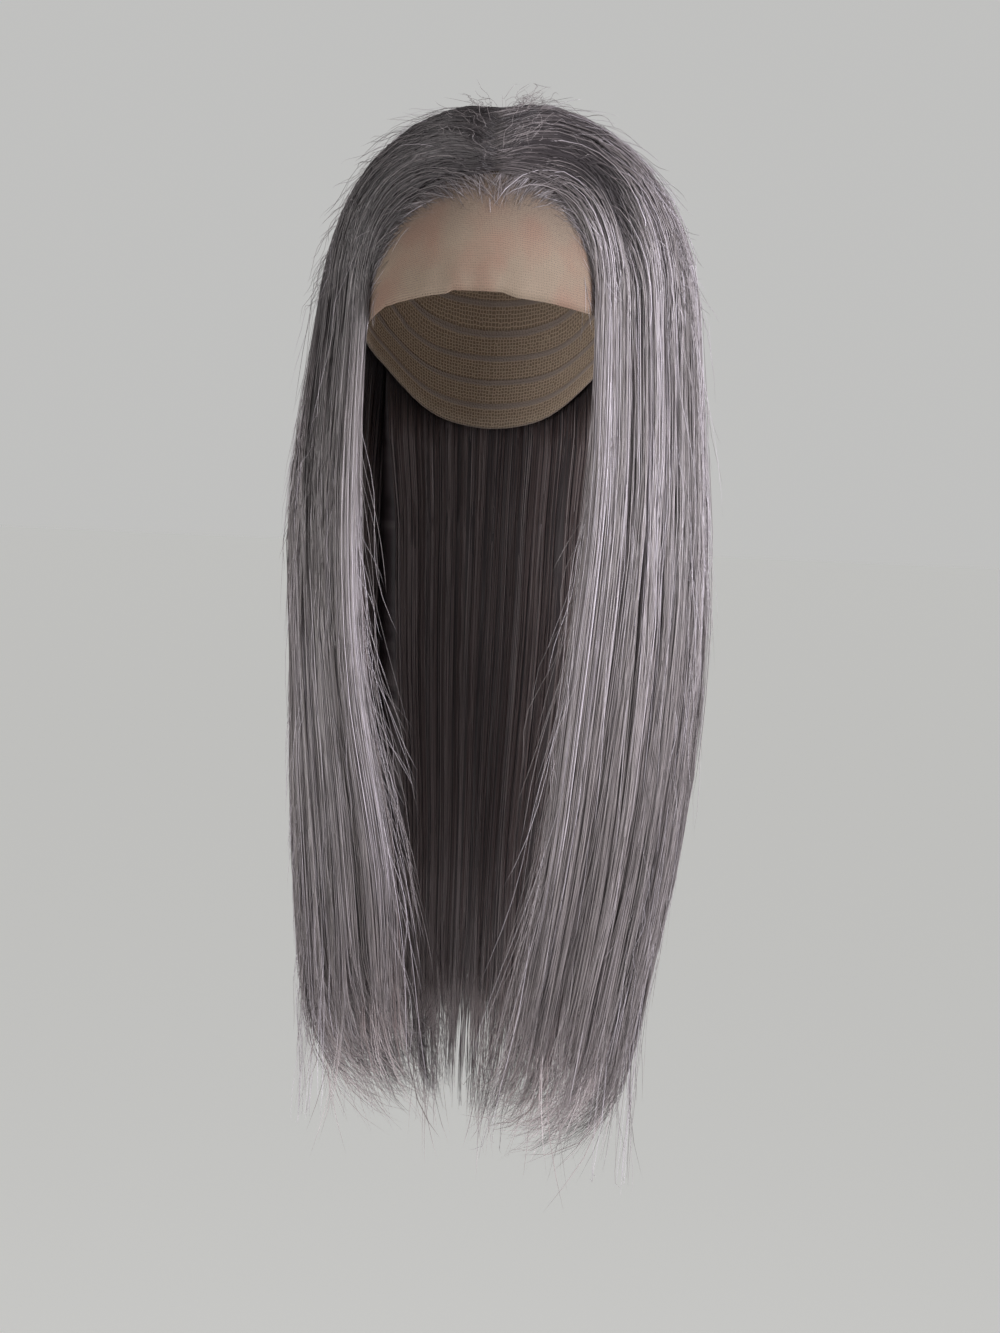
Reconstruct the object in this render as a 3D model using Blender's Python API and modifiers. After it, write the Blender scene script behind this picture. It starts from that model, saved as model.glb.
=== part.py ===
"""Long straight wig with a centre part, on a cap with a sheer lace front.

Metres, +Z up, the face side towards -Y. The origin is the top of the cap's
hollow, where it rests on the crown of a head. Left is -X, seen from the front.
"""

import bmesh
import bpy
import numpy as np
from mathutils import Vector

COLLECTION = "lace_front_wig"
LEFT = -1
RIGHT = 1

# Head form that the cap follows: half width, half depth, and the height from
# the widest level up to the crown, with the power of its rounded profile.
HEAD_WIDE = 0.077
HEAD_DEEP = 0.097
HEAD_TALL = 0.105
HEAD_POWER = 2.3
# Below the widest level the form draws in by this share at this depth.
TUCK_SHARE = 0.25
TUCK_DEPTH = 0.08
# Depth below the widest level for each degree of latitude past 90.
DROP_PER_DEGREE = 0.00183

CAP_THICK = 0.0015
LACE_THICK = 0.0010
AZIMUTH_STEP = 7.5
LACE_REACH = 75.0
CAP_ROWS = 11
LACE_ROWS = 7
SEAM_GAP = 0.25

# Latitude in degrees from the crown, by azimuth from the front.
SEAM_AZIMUTH = (0.0, 15.0, 30.0, 45.0, 60.0, 75.0)
SEAM_LATITUDE = (35.0, 37.0, 43.0, 54.0, 73.0, 101.0)
RIM_AZIMUTH = (82.5, 95.0, 120.0, 150.0, 180.0)
RIM_LATITUDE = (104.0, 94.0, 101.0, 117.0, 122.5)
CUT_AZIMUTH = (-75.0, -60.0, -45.0, -22.5, -15.0, 0.0, 15.0, 45.0, 60.0, 75.0)
CUT_LATITUDE = (104.7, 96.0, 90.3, 88.4, 87.0, 87.0, 88.9, 90.5, 96.0, 104.7)

# Outside of the hanging hair: half widths, depths before and behind the crown.
OUTSIDE_COLUMNS = ("height", "side_left", "side_right", "front_left", "front_right", "back")
OUTSIDE = (
    (-0.105, 0.0930, 0.1110, 0.074, 0.082, 0.121),
    (-0.200, 0.1045, 0.1205, 0.076, 0.088, 0.126),
    (-0.300, 0.1005, 0.1225, 0.074, 0.088, 0.124),
    (-0.400, 0.0965, 0.1145, 0.070, 0.083, 0.119),
    (-0.500, 0.0910, 0.1000, 0.066, 0.075, 0.113),
    (-0.600, 0.0900, 0.0950, 0.061, 0.069, 0.107),
)
# Inside of the hanging hair, against the cap and then round the neck.
INSIDE_COLUMNS = OUTSIDE_COLUMNS
INSIDE = (
    (-0.105, 0.0805, 0.0805, 0.1005, 0.1005, 0.1005),
    (-0.200, 0.0820, 0.0900, 0.0943, 0.0929, 0.1030),
    (-0.300, 0.0800, 0.0920, 0.0818, 0.0868, 0.1020),
    (-0.400, 0.0760, 0.0880, 0.0665, 0.0786, 0.0990),
    (-0.500, 0.0720, 0.0800, 0.0587, 0.0676, 0.0940),
    (-0.600, 0.0680, 0.0740, 0.0553, 0.0615, 0.0900),
)
# Distance of the front edges from the middle.
EDGE_COLUMNS = ("height", "edge_left", "edge_right")
EDGE = (
    (-0.105, 0.0670, 0.0565),
    (-0.200, 0.0675, 0.0560),
    (-0.300, 0.0605, 0.0480),
    (-0.400, 0.0410, 0.0400),
    (-0.500, 0.0330, 0.0280),
    (-0.600, 0.0300, 0.0220),
)
# Height of the ends from the front edge round to the back of each side.
TIP_PLACES = (0.0, 0.25, 0.6, 1.0)
TIP_LEFT = (-0.530, -0.545, -0.572, -0.600)
TIP_RIGHT = (-0.556, -0.575, -0.590, -0.600)

OUTSIDE_POWER = 2.6
INSIDE_POWER = 2.0
EDGE_INSET = 0.002
EDGE_TURN_POWER = 3.0
LEAVE_HEIGHT = -0.105

# Part line on the crown, from the hairline back, and the hair's rise over it.
PART_FRONT = -0.0839
PART_LENGTH = 0.129
PART_POWER = 1.5
MOUND_LEFT = 0.0070
MOUND_RIGHT = 0.0100
MOUND_BY = 0.35
PART_RISE = 0.0040
CLEFT_REACH = 0.11
DOME_FRONT_POWER = 2.1
DOME_LEFT_POWER = 1.76
DOME_RIGHT_POWER = 1.78
DOME_ROUND_BY = 0.32
BEND_FRONT = 0.73
BEND_BACK = 0.55
SWEEP_LEFT = 0.15
SWEEP_RIGHT = 0.45
SWEEP_BACK = 0.45
REST = 0.0035
PART_SEAT = 0.0016
PART_SEAT_REACH = 0.12
EDGE_SEAT = 0.0013
EDGE_SEAT_REACH = 0.05
EDGE_SEAT_DROP = 0.09

# Locks across each side, from the front edge to the back.
LOCK_BORDERS = (0.0, 0.075, 0.16, 0.25, 0.345, 0.435, 0.53, 0.62, 0.71, 0.80, 0.90, 1.0)
LOCK_COLUMNS = (0.0, 0.2, 0.5, 0.8)
SECTION_LOCKS = {"front": (0, 3), "side": (3, 7), "back": (7, 11)}
SECTION_GAP = 0.002
HALF_GAP = 0.0003
CROWN_ROWS = (0.0, 0.04, 0.10, 0.19, 0.30, 0.42, 0.55, 0.69, 0.84)
HANGING_ROWS = (1.0, 1.12, 1.26, 1.42, 1.58, 1.72, 1.83, 1.92, 2.0)
RELIEF_PLACES = (0.0, 0.3, 1.0, 1.5, 2.0)
RELIEF_DEPTHS = (0.0, 0.0022, 0.0030, 0.0050, 0.0060)
RELIEF_SUNK = 0.55
RELIEF_POWER = 2.5
RELIEF_SINK_LIMIT = 0.5
NOTCH = 0.070
NOTCH_POWER = 3.0
TIP_SWING = 0.010
TIP_SWING_TURN = 2.4
CURL = 0.024
CURL_SPAN = 0.070
CURL_LEAST_REACH = 0.03
THIN_FROM = 0.50
THIN_TIP = 0.14
THIN_TOWARDS = 0.85

# Hollow above the swept front lock on the right.
HOLLOW_DEPTH = 0.0045
HOLLOW_PLACE = 0.085
HOLLOW_WIDTH = 0.032
HOLLOW_ROW = 0.62
HOLLOW_LENGTH = 0.22

# Inner layer at the nape, by azimuth from the front.
NAPE_FROM = 128.0
NAPE_TO = 232.0
NAPE_LOCKS = 5
NAPE_TOP = -0.128
NAPE_TIP = -0.560
NAPE_SWING = 0.012
NAPE_SWING_TURN = 1.9
NAPE_NOTCH = 0.050
NAPE_CLEAR = 0.003
NAPE_INWARD = 0.013
NAPE_INWARD_FROM = 0.25
NAPE_INWARD_SPAN = 0.55
NAPE_SEAT = 0.0006
NAPE_ROOT_THICK = 0.0012
NAPE_THICK = 0.016
NAPE_THICK_BY = 0.25
NAPE_THIN_FROM = 0.6
NAPE_TIP_SHARE = 0.2
NAPE_CURL = 0.018
NAPE_CURL_FROM = 0.8
NAPE_CAP_LATITUDE = 126.0
NAPE_CAP_HEIGHT = -0.170
NAPE_RELIEF = 0.003
NAPE_RELIEF_BY = 0.3
NAPE_ROWS = (0.0, 0.04, 0.09, 0.20, 0.38, 0.56, 0.74, 0.89, 1.0)

HAIR_COLOR = (0.300, 0.270, 0.305, 1.0)
LACE_COLOR = (0.420, 0.330, 0.260, 1.0)
CAP_COLOR = (0.300, 0.220, 0.165, 1.0)
HAIR_ROUGHNESS = 0.42
LACE_ROUGHNESS = 0.80
CAP_ROUGHNESS = 0.85

# Points closer than this are one point.
SAME_POINT = 1e-6


def smooth(x):
    """Eased step from 0 to 1."""
    x = np.clip(x, 0.0, 1.0)
    return x * x * (3.0 - 2.0 * x)


def mix(a, b, share):
    return a + (b - a) * share


def curve(x, places, values):
    """Smooth curve through a row of values, flat beyond its ends."""
    places = np.asarray(places, float)
    values = np.asarray(values, float)
    order = np.argsort(places)
    places, values = places[order], values[order]
    slopes = np.gradient(values, places)
    x = np.clip(x, places[0], places[-1])
    low = np.clip(np.searchsorted(places, x, side="right") - 1, 0, len(places) - 2)
    span = places[low + 1] - places[low]
    t = (x - places[low]) / span
    start = (1.0 + 2.0 * t) * (1.0 - t) ** 2 * values[low] + t * (1.0 - t) ** 2 * span * slopes[low]
    end = t * t * (3.0 - 2.0 * t) * values[low + 1] + t * t * (t - 1.0) * span * slopes[low + 1]
    return start + end


def table(rows, columns, name, height):
    """A named column of a table of levels, at a height."""
    values = np.array(rows)
    return curve(height, values[:, 0], values[:, columns.index(name)])


def side_name(side):
    return "left" if side < 0 else "right"


def head_height(x, y, offset):
    """Height of the head form, grown by offset, over a place in plan."""
    reach = np.sqrt((x / (HEAD_WIDE + offset)) ** 2 + (y / (HEAD_DEEP + offset)) ** 2)
    rise = (1.0 - np.clip(reach, 0.0, 1.0) ** HEAD_POWER) ** (1.0 / HEAD_POWER)
    return (HEAD_TALL + offset) * rise - HEAD_TALL


def cap_points(azimuth, latitude, offset=0.0):
    """Points of the head form by azimuth from the front and latitude from the crown."""
    round_angle = np.radians(azimuth)
    down_angle = np.radians(np.clip(latitude, 0.0, 90.0))
    drop = np.maximum(latitude - 90.0, 0.0) * DROP_PER_DEGREE
    reach = np.sin(down_angle) ** (2.0 / HEAD_POWER)
    reach = reach * (1.0 - TUCK_SHARE * (drop / TUCK_DEPTH) ** 2)
    rise = np.maximum(np.cos(down_angle), 0.0) ** (2.0 / HEAD_POWER)
    x = (HEAD_WIDE + offset) * reach * np.sin(round_angle)
    y = -(HEAD_DEEP + offset) * reach * np.cos(round_angle)
    z = (HEAD_TALL + offset) * rise - HEAD_TALL - drop
    return np.stack([x, y, z], axis=-1)


def oval_points(angle, half_wide, front, back, power, side):
    """Points of a rounded oval by angle from the front, with its own depth before and behind."""
    sine = np.sin(angle)
    cosine = np.cos(angle)
    x = side * half_wide * np.abs(sine) ** (2.0 / power)
    depth = np.where(cosine > 0.0, -front, back)
    y = depth * np.abs(cosine) ** (2.0 / power)
    return x, y


def hanging_oval(side, u, height, outside):
    """Plan place of the hair at a height, from the front edge (u 0) to the back (u 1)."""
    name = side_name(side)
    edge = table(EDGE, EDGE_COLUMNS, "edge_" + name, height)
    wide = table(OUTSIDE, OUTSIDE_COLUMNS, "side_" + name, height)
    start = np.arcsin((edge / wide) ** (OUTSIDE_POWER / 2.0))
    angle = start + (np.pi - start) * u
    if outside:
        front = table(OUTSIDE, OUTSIDE_COLUMNS, "front_" + name, height)
        back = table(OUTSIDE, OUTSIDE_COLUMNS, "back", height)
        return oval_points(angle, wide, front, back, OUTSIDE_POWER, side)
    seat = edge_seat(u) * (1.0 - smooth((LEAVE_HEIGHT - height) / EDGE_SEAT_DROP))
    wide = table(INSIDE, INSIDE_COLUMNS, "side_" + name, height) - seat
    front = table(INSIDE, INSIDE_COLUMNS, "front_" + name, height) - seat
    back = table(INSIDE, INSIDE_COLUMNS, "back", height) - seat
    inner_start = np.arcsin(((edge - EDGE_INSET) / wide) ** (INSIDE_POWER / 2.0))
    angle = angle + (inner_start - start) * (1.0 - u) ** EDGE_TURN_POWER
    return oval_points(angle, wide, front, back, INSIDE_POWER, side)


def edge_seat(u):
    """How much closer the front edge lies to the lace than the rest lies to the cap."""
    return EDGE_SEAT * (1.0 - smooth(u / EDGE_SEAT_REACH))


def dome_power(side, u):
    """Fullness of the hair's profile over the crown, which is rounder behind the front edge."""
    return mix(DOME_FRONT_POWER, DOME_LEFT_POWER if side < 0 else DOME_RIGHT_POWER, smooth(u / DOME_ROUND_BY))


def crown_points(side, u, row, outside):
    """Hair over the crown, from the part (row 0) out to the widest level (row 1)."""
    power = dome_power(side, u)
    sweep = SWEEP_LEFT if side < 0 else SWEEP_RIGHT
    down_angle = row * np.pi / 2.0
    reach = np.sin(down_angle) ** (2.0 / power)
    part_y = PART_FRONT + PART_LENGTH * (1.0 - (1.0 - u) ** PART_POWER)
    leave_x, leave_y = hanging_oval(side, u, LEAVE_HEIGHT + 0.0 * u, outside)
    bend_x = leave_x * mix(BEND_FRONT, BEND_BACK, u)
    bend_y = mix(part_y, leave_y, mix(sweep, SWEEP_BACK, u))
    x = 2.0 * reach * (1.0 - reach) * bend_x + reach**2 * leave_x
    y = (1.0 - reach) ** 2 * part_y + 2.0 * reach * (1.0 - reach) * bend_y + reach**2 * leave_y
    if not outside:
        near_part = 1.0 - smooth(reach / PART_SEAT_REACH)
        rest = REST - edge_seat(u) - PART_SEAT * near_part * smooth(u / EDGE_SEAT_REACH)
        return np.stack([x, y, head_height(x, y, rest)], axis=-1)
    mound = mix(PART_RISE, MOUND_LEFT if side < 0 else MOUND_RIGHT, smooth(u / MOUND_BY))
    top = head_height(0.0 * u, part_y, REST) + mound
    rise = np.maximum(np.cos(down_angle), 0.0) ** (2.0 / power)
    cleft = (mound - PART_RISE) * np.exp(-((reach / CLEFT_REACH) ** 2))
    z = LEAVE_HEIGHT + (top - LEAVE_HEIGHT) * rise - cleft
    return np.stack([x, y, z], axis=-1)


def lock_places(u, borders):
    """The lock that each u lies in, and the place across it from 0 to 1."""
    borders = np.asarray(borders)
    index = np.clip(np.searchsorted(borders, u, side="right") - 1, 0, len(borders) - 2)
    return index, (u - borders[index]) / (borders[index + 1] - borders[index])


def end_level(side, u):
    """Height that the ends reach round a side, before the notches between locks."""
    return curve(u, TIP_PLACES, TIP_LEFT if side < 0 else TIP_RIGHT)


def tip_height(side, u):
    """Height of the ends, lower in the middle of a lock than between two."""
    index, across = lock_places(u, LOCK_BORDERS)
    between = np.abs(2.0 * across - 1.0) ** NOTCH_POWER
    swing = TIP_SWING * np.sin(TIP_SWING_TURN * index + side)
    return end_level(side, u) + mix(swing, NOTCH, between)


def hanging_points(side, u, fall, outside):
    """Hair from the widest level (fall 0) to its ends (fall 1)."""
    height = LEAVE_HEIGHT + (tip_height(side, u) - LEAVE_HEIGHT) * fall
    x, y = hanging_oval(side, u, height, outside)
    other_x, other_y = hanging_oval(side, u, height, not outside)
    thin = mix(1.0, THIN_TIP, smooth((fall - THIN_FROM) / (1.0 - THIN_FROM)))
    towards = THIN_TOWARDS if not outside else 1.0 - THIN_TOWARDS
    core_x = mix(x, other_x, towards)
    core_y = mix(y, other_y, towards)
    x = core_x + (x - core_x) * thin
    y = core_y + (y - core_y) * thin
    turned = np.clip((end_level(side, u) + CURL_SPAN - height) / CURL_SPAN, 0.0, 1.0)
    inward = 1.0 - CURL * turned**2 / np.maximum(np.hypot(x, y), CURL_LEAST_REACH)
    return np.stack([x * inward, y * inward, height], axis=-1)


def hair_points(side, u, row, outside):
    """Hair from the part (row 0) over the widest level (row 1) to the ends (row 2)."""
    over = crown_points(side, u, np.clip(row, 0.0, 1.0), outside)
    down = hanging_points(side, u, np.clip(row - 1.0, 0.0, 1.0), outside)
    return np.where((row < 1.0)[..., None], over, down)


def relief(side, u, row):
    """How far each lock stands out, and the hollow above the swept front lock."""
    _, across = lock_places(u, LOCK_BORDERS)
    round_lock = 1.0 - np.abs(2.0 * across - 1.0) ** RELIEF_POWER - RELIEF_SUNK
    deep = np.interp(row, RELIEF_PLACES, RELIEF_DEPTHS) * round_lock
    if side < 0:
        return deep
    along = np.exp(-(((row - HOLLOW_ROW) / HOLLOW_LENGTH) ** 2))
    return deep - HOLLOW_DEPTH * along * np.exp(-(((u - HOLLOW_PLACE) / HOLLOW_WIDTH) ** 2))


def section_points(side, u, row, layer):
    """Both faces of a section: layer 0 lies inside, layer 1 outside."""
    inner = hair_points(side, u, row, False)
    outer = hair_points(side, u, row, True)
    out = outer - inner
    thick = np.linalg.norm(out, axis=-1)
    out = out / np.maximum(thick, SAME_POINT)[..., None]
    raised = np.maximum(relief(side, u, row), -RELIEF_SINK_LIMIT * thick)
    outer = outer + out * raised[..., None]
    points = np.where((layer > 0.5)[..., None], outer, inner)
    points[..., 0] = side * (np.abs(points[..., 0]) + HALF_GAP)
    return points


def nape_ends(u):
    """Height of the nape layer's ends, and the place across each of its locks."""
    index, across = lock_places(u, np.linspace(0.0, 1.0, NAPE_LOCKS + 1))
    between = np.abs(2.0 * across - 1.0)
    ends = NAPE_TIP + mix(NAPE_SWING * np.sin(NAPE_SWING_TURN * index), NAPE_NOTCH, between**NOTCH_POWER)
    return ends, between


def nape_outside(azimuth, height, fall):
    """Plan place of the nape layer's outside, a little within the hair behind it."""
    clear = NAPE_CLEAR + NAPE_INWARD * smooth((fall - NAPE_INWARD_FROM) / NAPE_INWARD_SPAN)
    wide_left = table(INSIDE, INSIDE_COLUMNS, "side_left", height)
    wide_right = table(INSIDE, INSIDE_COLUMNS, "side_right", height)
    wide = np.where(azimuth > 180.0, wide_left, wide_right) - clear
    deep = table(INSIDE, INSIDE_COLUMNS, "back", height) - clear
    return wide * np.sin(np.radians(azimuth)), -deep * np.cos(np.radians(azimuth))


def nape_points(u, fall, layer):
    """Inner layer at the nape: u runs round the back, fall from its root to its ends."""
    azimuth = mix(NAPE_FROM, NAPE_TO, u)
    ends, between = nape_ends(u)
    height = NAPE_TOP + (ends - NAPE_TOP) * fall
    x, y = nape_outside(azimuth, height, fall)
    reach = np.hypot(x, y)
    latitude = 90.0 + (LEAVE_HEIGHT - height) / DROP_PER_DEGREE
    on_cap = cap_points(azimuth, np.minimum(latitude, NAPE_CAP_LATITUDE), CAP_THICK + NAPE_SEAT)
    cap_reach = np.hypot(on_cap[..., 0], on_cap[..., 1])
    thick = mix(NAPE_ROOT_THICK, NAPE_THICK, smooth(fall / NAPE_THICK_BY))
    thick = thick * mix(1.0, NAPE_TIP_SHARE, smooth((fall - NAPE_THIN_FROM) / (1.0 - NAPE_THIN_FROM)))
    inner_reach = np.minimum(reach - thick, cap_reach + fall)
    inner_reach = np.maximum(inner_reach, np.where(height > NAPE_CAP_HEIGHT, cap_reach, 0.0))
    bump = NAPE_RELIEF * smooth(fall / NAPE_RELIEF_BY) * (1.0 - between**RELIEF_POWER)
    share = np.where(layer > 0.5, 1.0, (inner_reach - bump) / reach)
    turned = np.clip((fall - NAPE_CURL_FROM) / (1.0 - NAPE_CURL_FROM), 0.0, 1.0)
    curl = 1.0 - NAPE_CURL * turned**2 / reach
    return np.stack([x * share * curl, y * share * curl, height], axis=-1)


def grid_mesh(columns, rows):
    """Flat grid whose x and y hold the place of each point in columns and rows."""
    mesh = bmesh.new()
    bmesh.ops.create_grid(mesh, x_segments=len(columns) - 1, y_segments=len(rows) - 1, size=0.5)
    for vertex in mesh.verts:
        column = round((vertex.co.x + 0.5) * (len(columns) - 1))
        row = round((vertex.co.y + 0.5) * (len(rows) - 1))
        vertex.co = (columns[column], rows[row], 0.0)
    return mesh


def shape(mesh, points_of):
    """Moves every point of a grid to where points_of puts it."""
    places = np.array([vertex.co[:] for vertex in mesh.verts])
    points = points_of(places[:, 0], places[:, 1], places[:, 2])
    for vertex, point in zip(mesh.verts, points):
        vertex.co = point


def add_object(name, mesh, material, collection, parent):
    data = bpy.data.meshes.new(name)
    mesh.to_mesh(data)
    mesh.free()
    data.materials.append(material)
    obj = bpy.data.objects.new(name, data)
    collection.objects.link(obj)
    obj.parent = parent
    return obj


def slab(columns, rows, points_of):
    """Closed slab one layer deep over a grid."""
    mesh = grid_mesh(columns, rows)
    raised = bmesh.ops.extrude_face_region(mesh, geom=mesh.faces[:], use_keep_orig=True)
    upper = [item for item in raised["geom"] if isinstance(item, bmesh.types.BMVert)]
    bmesh.ops.translate(mesh, verts=upper, vec=(0.0, 0.0, 1.0))
    bmesh.ops.recalc_face_normals(mesh, faces=mesh.faces[:])
    shape(mesh, points_of)
    if mesh.calc_volume(signed=True) < 0.0:
        bmesh.ops.reverse_faces(mesh, faces=mesh.faces[:])
    return mesh


def section_columns(first, last):
    """Places of a section's columns, drawn in a little at both ends."""
    borders = LOCK_BORDERS[first : last + 1]
    columns = [mix(a, b, share) for a, b in zip(borders, borders[1:]) for share in LOCK_COLUMNS]
    columns.append(borders[-1])
    if first > 0:
        columns[0] += SECTION_GAP
    if last < len(LOCK_BORDERS) - 1:
        columns[-1] -= SECTION_GAP
    return columns


def make_section(place, side, material, collection, parent):
    """One section of hair, from the part over the crown and down to its ends."""

    def points_of(u, row, layer):
        return section_points(side, u, row, layer)

    mesh = slab(section_columns(*SECTION_LOCKS[place]), CROWN_ROWS + HANGING_ROWS, points_of)
    return add_object(f"hair_{place}_{side_name(side)}", mesh, material, collection, parent)


def make_nape(material, collection, parent):
    """Inner layer of back hair, from the cap's nape down to its ends."""
    borders = np.linspace(0.0, 1.0, NAPE_LOCKS + 1)
    columns = [mix(a, b, share) for a, b in zip(borders, borders[1:]) for share in LOCK_COLUMNS]
    mesh = slab(columns + [1.0], NAPE_ROWS, nape_points)
    return add_object("hair_nape", mesh, material, collection, parent)


def seam_latitude(azimuth):
    return curve(np.abs(azimuth), SEAM_AZIMUTH, SEAM_LATITUDE)


def cap_end(azimuth):
    """Latitude where the cap ends: at the lace's seam in front, at its rim elsewhere."""
    away = np.abs(azimuth)
    return np.where(away <= LACE_REACH, seam_latitude(azimuth), curve(away, RIM_AZIMUTH, RIM_LATITUDE))


def thicken(obj, thickness):
    solid = obj.modifiers.new("Thickness", "SOLIDIFY")
    solid.thickness = thickness
    solid.offset = 1.0
    solid.use_even_offset = True


def face_out(mesh):
    """Turns an open shell so that its faces look away from the middle of the head form."""
    inside = Vector((0.0, 0.0, -HEAD_TALL))
    bmesh.ops.recalc_face_normals(mesh, faces=mesh.faces[:])
    mesh.normal_update()
    facing = sum((face.calc_center_median() - inside).dot(face.normal) for face in mesh.faces)
    if facing < 0.0:
        bmesh.ops.reverse_faces(mesh, faces=mesh.faces[:])


def azimuths(reach):
    return np.arange(-reach, reach + AZIMUTH_STEP / 2.0, AZIMUTH_STEP).tolist()


def make_cap(material, collection, parent):
    """Stretch cap over the head form, open at the face and below."""

    def cap_shell(azimuth, row, _):
        return cap_points(azimuth, row * cap_end(azimuth))

    mesh = grid_mesh(azimuths(180.0), np.linspace(0.0, 1.0, CAP_ROWS).tolist())
    shape(mesh, cap_shell)
    bmesh.ops.remove_doubles(mesh, verts=mesh.verts[:], dist=SAME_POINT)
    face_out(mesh)
    obj = add_object("wig_cap", mesh, material, collection, parent)
    thicken(obj, CAP_THICK)
    return obj


def make_lace(material, collection, parent):
    """Lace panel, from the cap's seam down the forehead to its cut edge."""

    def lace_shell(azimuth, row, _):
        seam = seam_latitude(azimuth) + SEAM_GAP
        cut = np.interp(azimuth, CUT_AZIMUTH, CUT_LATITUDE)
        return cap_points(azimuth, mix(seam, cut, row))

    mesh = grid_mesh(azimuths(LACE_REACH), np.linspace(0.0, 1.0, LACE_ROWS).tolist())
    shape(mesh, lace_shell)
    face_out(mesh)
    obj = add_object("lace_front", mesh, material, collection, parent)
    thicken(obj, LACE_THICK)
    return obj


def make_material(name, color, roughness):
    material = bpy.data.materials.new(name)
    material.use_nodes = True
    shader = material.node_tree.nodes["Principled BSDF"]
    shader.inputs["Base Color"].default_value = color
    shader.inputs["Roughness"].default_value = roughness
    shader.inputs["Metallic"].default_value = 0.0
    return material


def clear_scene():
    for obj in list(bpy.data.objects):
        bpy.data.objects.remove(obj, do_unlink=True)


def main():
    clear_scene()
    collection = bpy.data.collections.new(COLLECTION)
    bpy.context.scene.collection.children.link(collection)
    crown = bpy.data.objects.new("crown", None)
    collection.objects.link(crown)
    hair = make_material("hair", HAIR_COLOR, HAIR_ROUGHNESS)
    lace = make_material("lace", LACE_COLOR, LACE_ROUGHNESS)
    cloth = make_material("cap", CAP_COLOR, CAP_ROUGHNESS)
    make_cap(cloth, collection, crown)
    make_lace(lace, collection, crown)
    for side in (LEFT, RIGHT):
        for place in SECTION_LOCKS:
            make_section(place, side, hair, collection, crown)
    make_nape(hair, collection, crown)


main()
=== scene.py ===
"""Looks of a long straight lace front wig, dressed over its CAD solids.

Metres, +Z up, the face side towards -Y. Left is -X, seen from the front.
"""

import bmesh
import bpy
import numpy as np
from mathutils import Matrix, Vector


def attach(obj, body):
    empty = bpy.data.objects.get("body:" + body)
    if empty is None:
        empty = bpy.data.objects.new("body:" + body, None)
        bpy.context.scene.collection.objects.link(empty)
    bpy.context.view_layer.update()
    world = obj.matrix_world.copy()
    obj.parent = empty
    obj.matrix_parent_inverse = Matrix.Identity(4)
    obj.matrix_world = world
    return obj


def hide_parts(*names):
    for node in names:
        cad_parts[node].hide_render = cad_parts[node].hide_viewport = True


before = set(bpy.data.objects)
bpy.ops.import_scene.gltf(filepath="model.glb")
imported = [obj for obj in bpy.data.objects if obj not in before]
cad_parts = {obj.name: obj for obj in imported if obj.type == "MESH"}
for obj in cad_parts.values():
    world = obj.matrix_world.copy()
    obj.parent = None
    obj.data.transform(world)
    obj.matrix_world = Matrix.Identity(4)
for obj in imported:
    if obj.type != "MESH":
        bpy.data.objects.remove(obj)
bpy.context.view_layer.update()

LEFT = -1
RIGHT = 1

# Rounded form that the cap and the lace follow: half width, half depth, height and squareness.
CAP_WIDE = 0.077
CAP_DEEP = 0.097
CAP_TALL = 0.105
CAP_POWER = 2.3
# How it draws in below its widest level, and how far down each further degree of latitude lies.
TUCK_SHARE = 0.25
TUCK_DEPTH = 0.08
DROP_PER_DEGREE = 0.00183

# Latitude in degrees from the crown, by azimuth from the front.
SEAM_AZIMUTH = (0.0, 15.0, 30.0, 45.0, 60.0, 75.0)
SEAM_LATITUDE = (35.0, 37.0, 43.0, 54.0, 73.0, 101.0)
RIM_AZIMUTH = (82.5, 95.0, 120.0, 150.0, 180.0)
RIM_LATITUDE = (104.0, 94.0, 101.0, 117.0, 122.5)
CUT_AZIMUTH = (-75.0, -60.0, -45.0, -22.5, -17.0, -14.5, 4.0, 9.5, 20.0, 45.0, 60.0, 75.0)
CUT_LATITUDE = (104.7, 96.0, 90.3, 88.5, 88.2, 87.5, 87.6, 88.6, 89.0, 90.5, 96.0, 104.7)
LACE_REACH = 75.0
SEAM_GAP = 0.25

# Hanging hair by height: half widths, depths before and behind the crown.
COLUMNS = ("height", "side_left", "side_right", "front_left", "front_right", "back")
OUTSIDE = (
    (-0.105, 0.0930, 0.1110, 0.074, 0.082, 0.121),
    (-0.200, 0.1045, 0.1205, 0.076, 0.088, 0.126),
    (-0.300, 0.1005, 0.1225, 0.074, 0.088, 0.124),
    (-0.400, 0.0965, 0.1145, 0.070, 0.083, 0.119),
    (-0.500, 0.0910, 0.1000, 0.066, 0.075, 0.113),
    (-0.600, 0.0900, 0.0950, 0.061, 0.069, 0.107),
)
INSIDE = (
    (-0.105, 0.0805, 0.0805, 0.1005, 0.1005, 0.1005),
    (-0.200, 0.0820, 0.0900, 0.0943, 0.0929, 0.1030),
    (-0.300, 0.0800, 0.0920, 0.0818, 0.0868, 0.1020),
    (-0.400, 0.0760, 0.0880, 0.0665, 0.0786, 0.0990),
    (-0.500, 0.0720, 0.0800, 0.0587, 0.0676, 0.0940),
    (-0.600, 0.0680, 0.0740, 0.0553, 0.0615, 0.0900),
)
EDGE_COLUMNS = ("height", "edge_left", "edge_right")
EDGE = (
    (-0.105, 0.0670, 0.0565),
    (-0.200, 0.0675, 0.0560),
    (-0.300, 0.0605, 0.0480),
    (-0.400, 0.0410, 0.0400),
    (-0.500, 0.0330, 0.0280),
    (-0.600, 0.0300, 0.0220),
)
TIP_PLACES = (0.0, 0.25, 0.6, 1.0)
TIP_LEFT = (-0.530, -0.545, -0.572, -0.600)
TIP_RIGHT = (-0.556, -0.575, -0.590, -0.600)
OUTSIDE_POWER = 2.6
INSIDE_POWER = 2.0
LEAVE_HEIGHT = -0.105

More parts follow.
